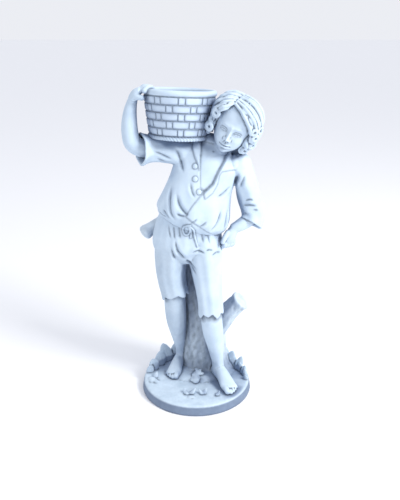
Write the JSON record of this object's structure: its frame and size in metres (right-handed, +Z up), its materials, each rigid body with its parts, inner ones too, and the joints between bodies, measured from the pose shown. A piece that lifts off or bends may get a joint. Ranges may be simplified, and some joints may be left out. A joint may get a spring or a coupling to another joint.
{
  "type": "planter statue",
  "caption": "Cast stone garden statue of a barefoot boy on a round plinth, with a woven basket planter on one shoulder.",
  "frame": {"origin": "centre of the round plinth's underside", "axes": "+Z up along the figure, -Y the way the figure faces, +X to the figure's left"},
  "size_m": [0.3732, 0.318, 0.8622],
  "materials": {
    "cast_stone": "matt, pale and cool, with a dark wash in the hollows"
  },
  "bodies": {
    "root": {"statue": "cast_stone"}
  },
  "joints": []
}
